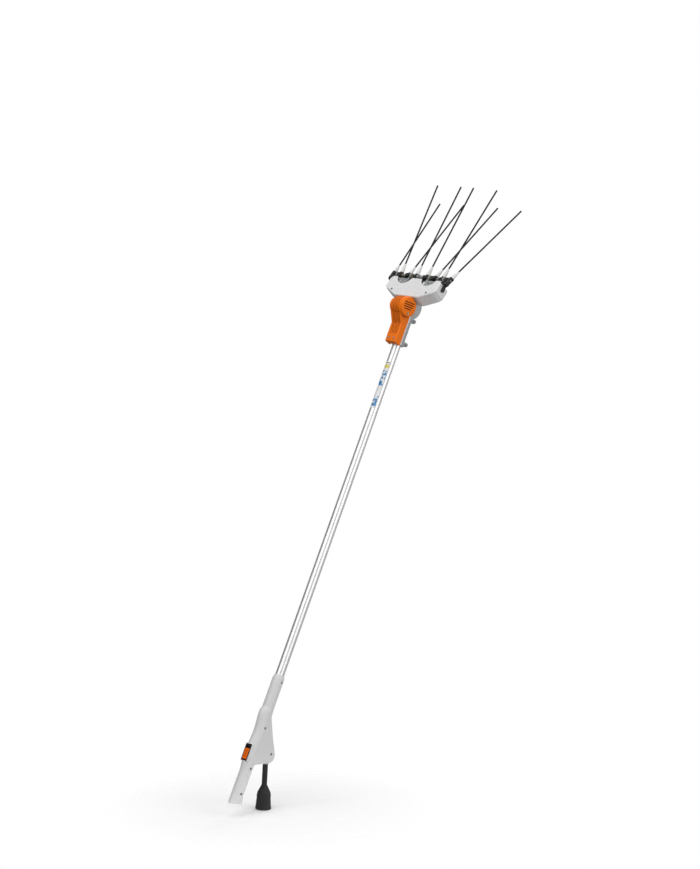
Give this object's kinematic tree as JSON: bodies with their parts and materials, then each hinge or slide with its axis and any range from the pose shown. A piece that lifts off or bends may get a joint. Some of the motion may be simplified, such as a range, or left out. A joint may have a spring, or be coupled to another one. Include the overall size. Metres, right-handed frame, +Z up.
{
  "type": "pole-mounted shaking harvester",
  "caption": "Long-pole powered fruit shaker: two interleaved sets of thin rods rock in opposition on a motor-driven head above an aluminium pole and a switched control handle.",
  "frame": {"origin": "level with the lowest edge of the grip, on the pole's axis", "axes": "+Z up the pole's axis towards the head; -Y is the front, where the switch and the ribbed motor cover face; +X is the operator's left when the front faces away"},
  "size_m": [0.3558, 0.2222, 2.0801],
  "materials": {
    "tube": "drawn, satin anodised",
    "tube_label": "printed film",
    "supply_lead": "cable sheath",
    "gear_case": "die cast, bead blasted",
    "gear_case_lid": "die cast",
    "gear_bearings": "ground",
    "clamp_screws": "zinc plated",
    "motor_stator": "laminated",
    "stator_coils": "enamelled copper wire",
    "motor_can": "satin",
    "motor_cover": "moulded, fine grain",
    "cover_screws": "zinc plated",
    "head_front_shell": "moulded, fine grain",
    "head_rear_shell": "moulded, fine grain",
    "head_screws": "blackened",
    "frame_bolts": "zinc plated",
    "rocker_frame": "die cast",
    "frame_bearings": "sintered bronze",
    "handle_left_shell": "moulded, fine grain",
    "handle_right_shell": "moulded, fine grain",
    "handle_screws": "zinc plated",
    "handle_collar": "moulded",
    "switch_frame": "moulded",
    "micro_switch": "moulded",
    "control_board": "solder resist",
    "board_parts": "moulded",
    "boot_flange": "moulded",
    "boot": "moulded rubber",
    "socket_insert": "moulded",
    "socket_contacts": "plated",
    "boot_lead": "cable sheath",
    "rocker_axle": "ground",
    "end_holder_left": "glass filled, moulded",
    "end_holder_right": "glass filled, moulded",
    "inner_holder_left": "glass filled, moulded",
    "inner_holder_right": "glass filled, moulded",
    "lever_a": "machined",
    "rod_sockets_a": "moulded",
    "rod_1": "pultruded carbon fibre",
    "rod_3": "pultruded carbon fibre",
    "rod_6": "pultruded carbon fibre",
    "rod_8": "pultruded carbon fibre",
    "rocker_b": "glass filled, moulded",
    "rocker_b_bushes": "sintered bronze",
    "lever_b": "machined",
    "rod_sockets_b": "moulded",
    "rod_2": "pultruded carbon fibre",
    "rod_4": "pultruded carbon fibre",
    "rod_5": "pultruded carbon fibre",
    "rod_7": "pultruded carbon fibre",
    "crankshaft": "machined",
    "crank_gear": "cut teeth",
    "crank_rollers": "hardened",
    "idler_gear": "nylon, moulded",
    "motor_shaft": "ground",
    "motor_rotor": "laminated, bonded magnets",
    "cooling_fan": "moulded",
    "switch_button": "moulded"
  },
  "bodies": {
    "pole": {"tube": "tube", "tube_label": "tube_label", "supply_lead": "supply_lead", "gear_case": "gear_case", "gear_case_lid": "gear_case_lid", "gear_bearings": "gear_bearings", "clamp_screws": "clamp_screws", "motor_stator": "motor_stator", "stator_coils": "stator_coils", "motor_can": "motor_can", "motor_cover": "motor_cover", "cover_screws": "cover_screws", "head_front_shell": "head_front_shell", "head_rear_shell": "head_rear_shell", "head_screws": "head_screws", "frame_bolts": "frame_bolts", "rocker_frame": "rocker_frame", "frame_bearings": "frame_bearings", "handle_left_shell": "handle_left_shell", "handle_right_shell": "handle_right_shell", "handle_screws": "handle_screws", "handle_collar": "handle_collar", "switch_frame": "switch_frame", "micro_switch": "micro_switch", "control_board": "control_board", "board_parts": "board_parts", "boot_flange": "boot_flange", "boot": "boot", "socket_insert": "socket_insert", "socket_contacts": "socket_contacts", "boot_lead": "boot_lead"},
    "rocker_front_going": {"rocker_axle": "rocker_axle", "end_holder_left": "end_holder_left", "end_holder_right": "end_holder_right", "inner_holder_left": "inner_holder_left", "inner_holder_right": "inner_holder_right", "lever_a": "lever_a", "rod_sockets_a": "rod_sockets_a", "rod_1": "rod_1", "rod_3": "rod_3", "rod_6": "rod_6", "rod_8": "rod_8"},
    "rocker_back_going": {"rocker_b": "rocker_b", "rocker_b_bushes": "rocker_b_bushes", "lever_b": "lever_b", "rod_sockets_b": "rod_sockets_b", "rod_2": "rod_2", "rod_4": "rod_4", "rod_5": "rod_5", "rod_7": "rod_7"},
    "crank": {"crankshaft": "crankshaft", "crank_gear": "crank_gear", "crank_rollers": "crank_rollers"},
    "idler": {"idler_gear": "idler_gear"},
    "motor_spindle": {"motor_shaft": "motor_shaft", "motor_rotor": "motor_rotor", "cooling_fan": "cooling_fan"},
    "button": {"switch_button": "switch_button"}
  },
  "joints": [
    {"name": "crank_turn", "type": "hinge", "parent": "pole", "child": "crank", "pos_m": [0, -0.00334, 1.69539], "axis": [1, 0, 0], "range_deg": [0, 180]},
    {"name": "front_going_swing", "type": "hinge", "parent": "pole", "child": "rocker_front_going", "pos_m": [0, 0.002, 1.742], "axis": [1, 0, 0], "range_deg": [0, 15.4]},
    {"name": "back_going_swing", "type": "hinge", "parent": "pole", "child": "rocker_back_going", "pos_m": [0, 0.002, 1.742], "axis": [1, 0, 0], "range_deg": [-15.4, 0]},
    {"name": "idler_turn", "type": "hinge", "parent": "pole", "child": "idler", "pos_m": [0, 0, 1.643], "axis": [1, 0, 0], "range_deg": [-90.5, 0]},
    {"name": "motor_turn", "type": "hinge", "parent": "pole", "child": "motor_spindle", "pos_m": [0, -0.03997, 1.62854], "axis": [1, 0, 0], "range_deg": [0, 421]},
    {"name": "switch_slide", "type": "slide", "parent": "pole", "child": "button", "axis": [0, 0, 1], "range_m": [0, 0.008]}
  ],
  "couplings": [
    {"joint": "front_going_swing", "follows": "crank_turn", "ratio": 0.085111},
    {"joint": "back_going_swing", "follows": "crank_turn", "ratio": -0.085111},
    {"joint": "idler_turn", "follows": "crank_turn", "ratio": -0.5},
    {"joint": "motor_turn", "follows": "crank_turn", "ratio": 2.3333}
  ]
}
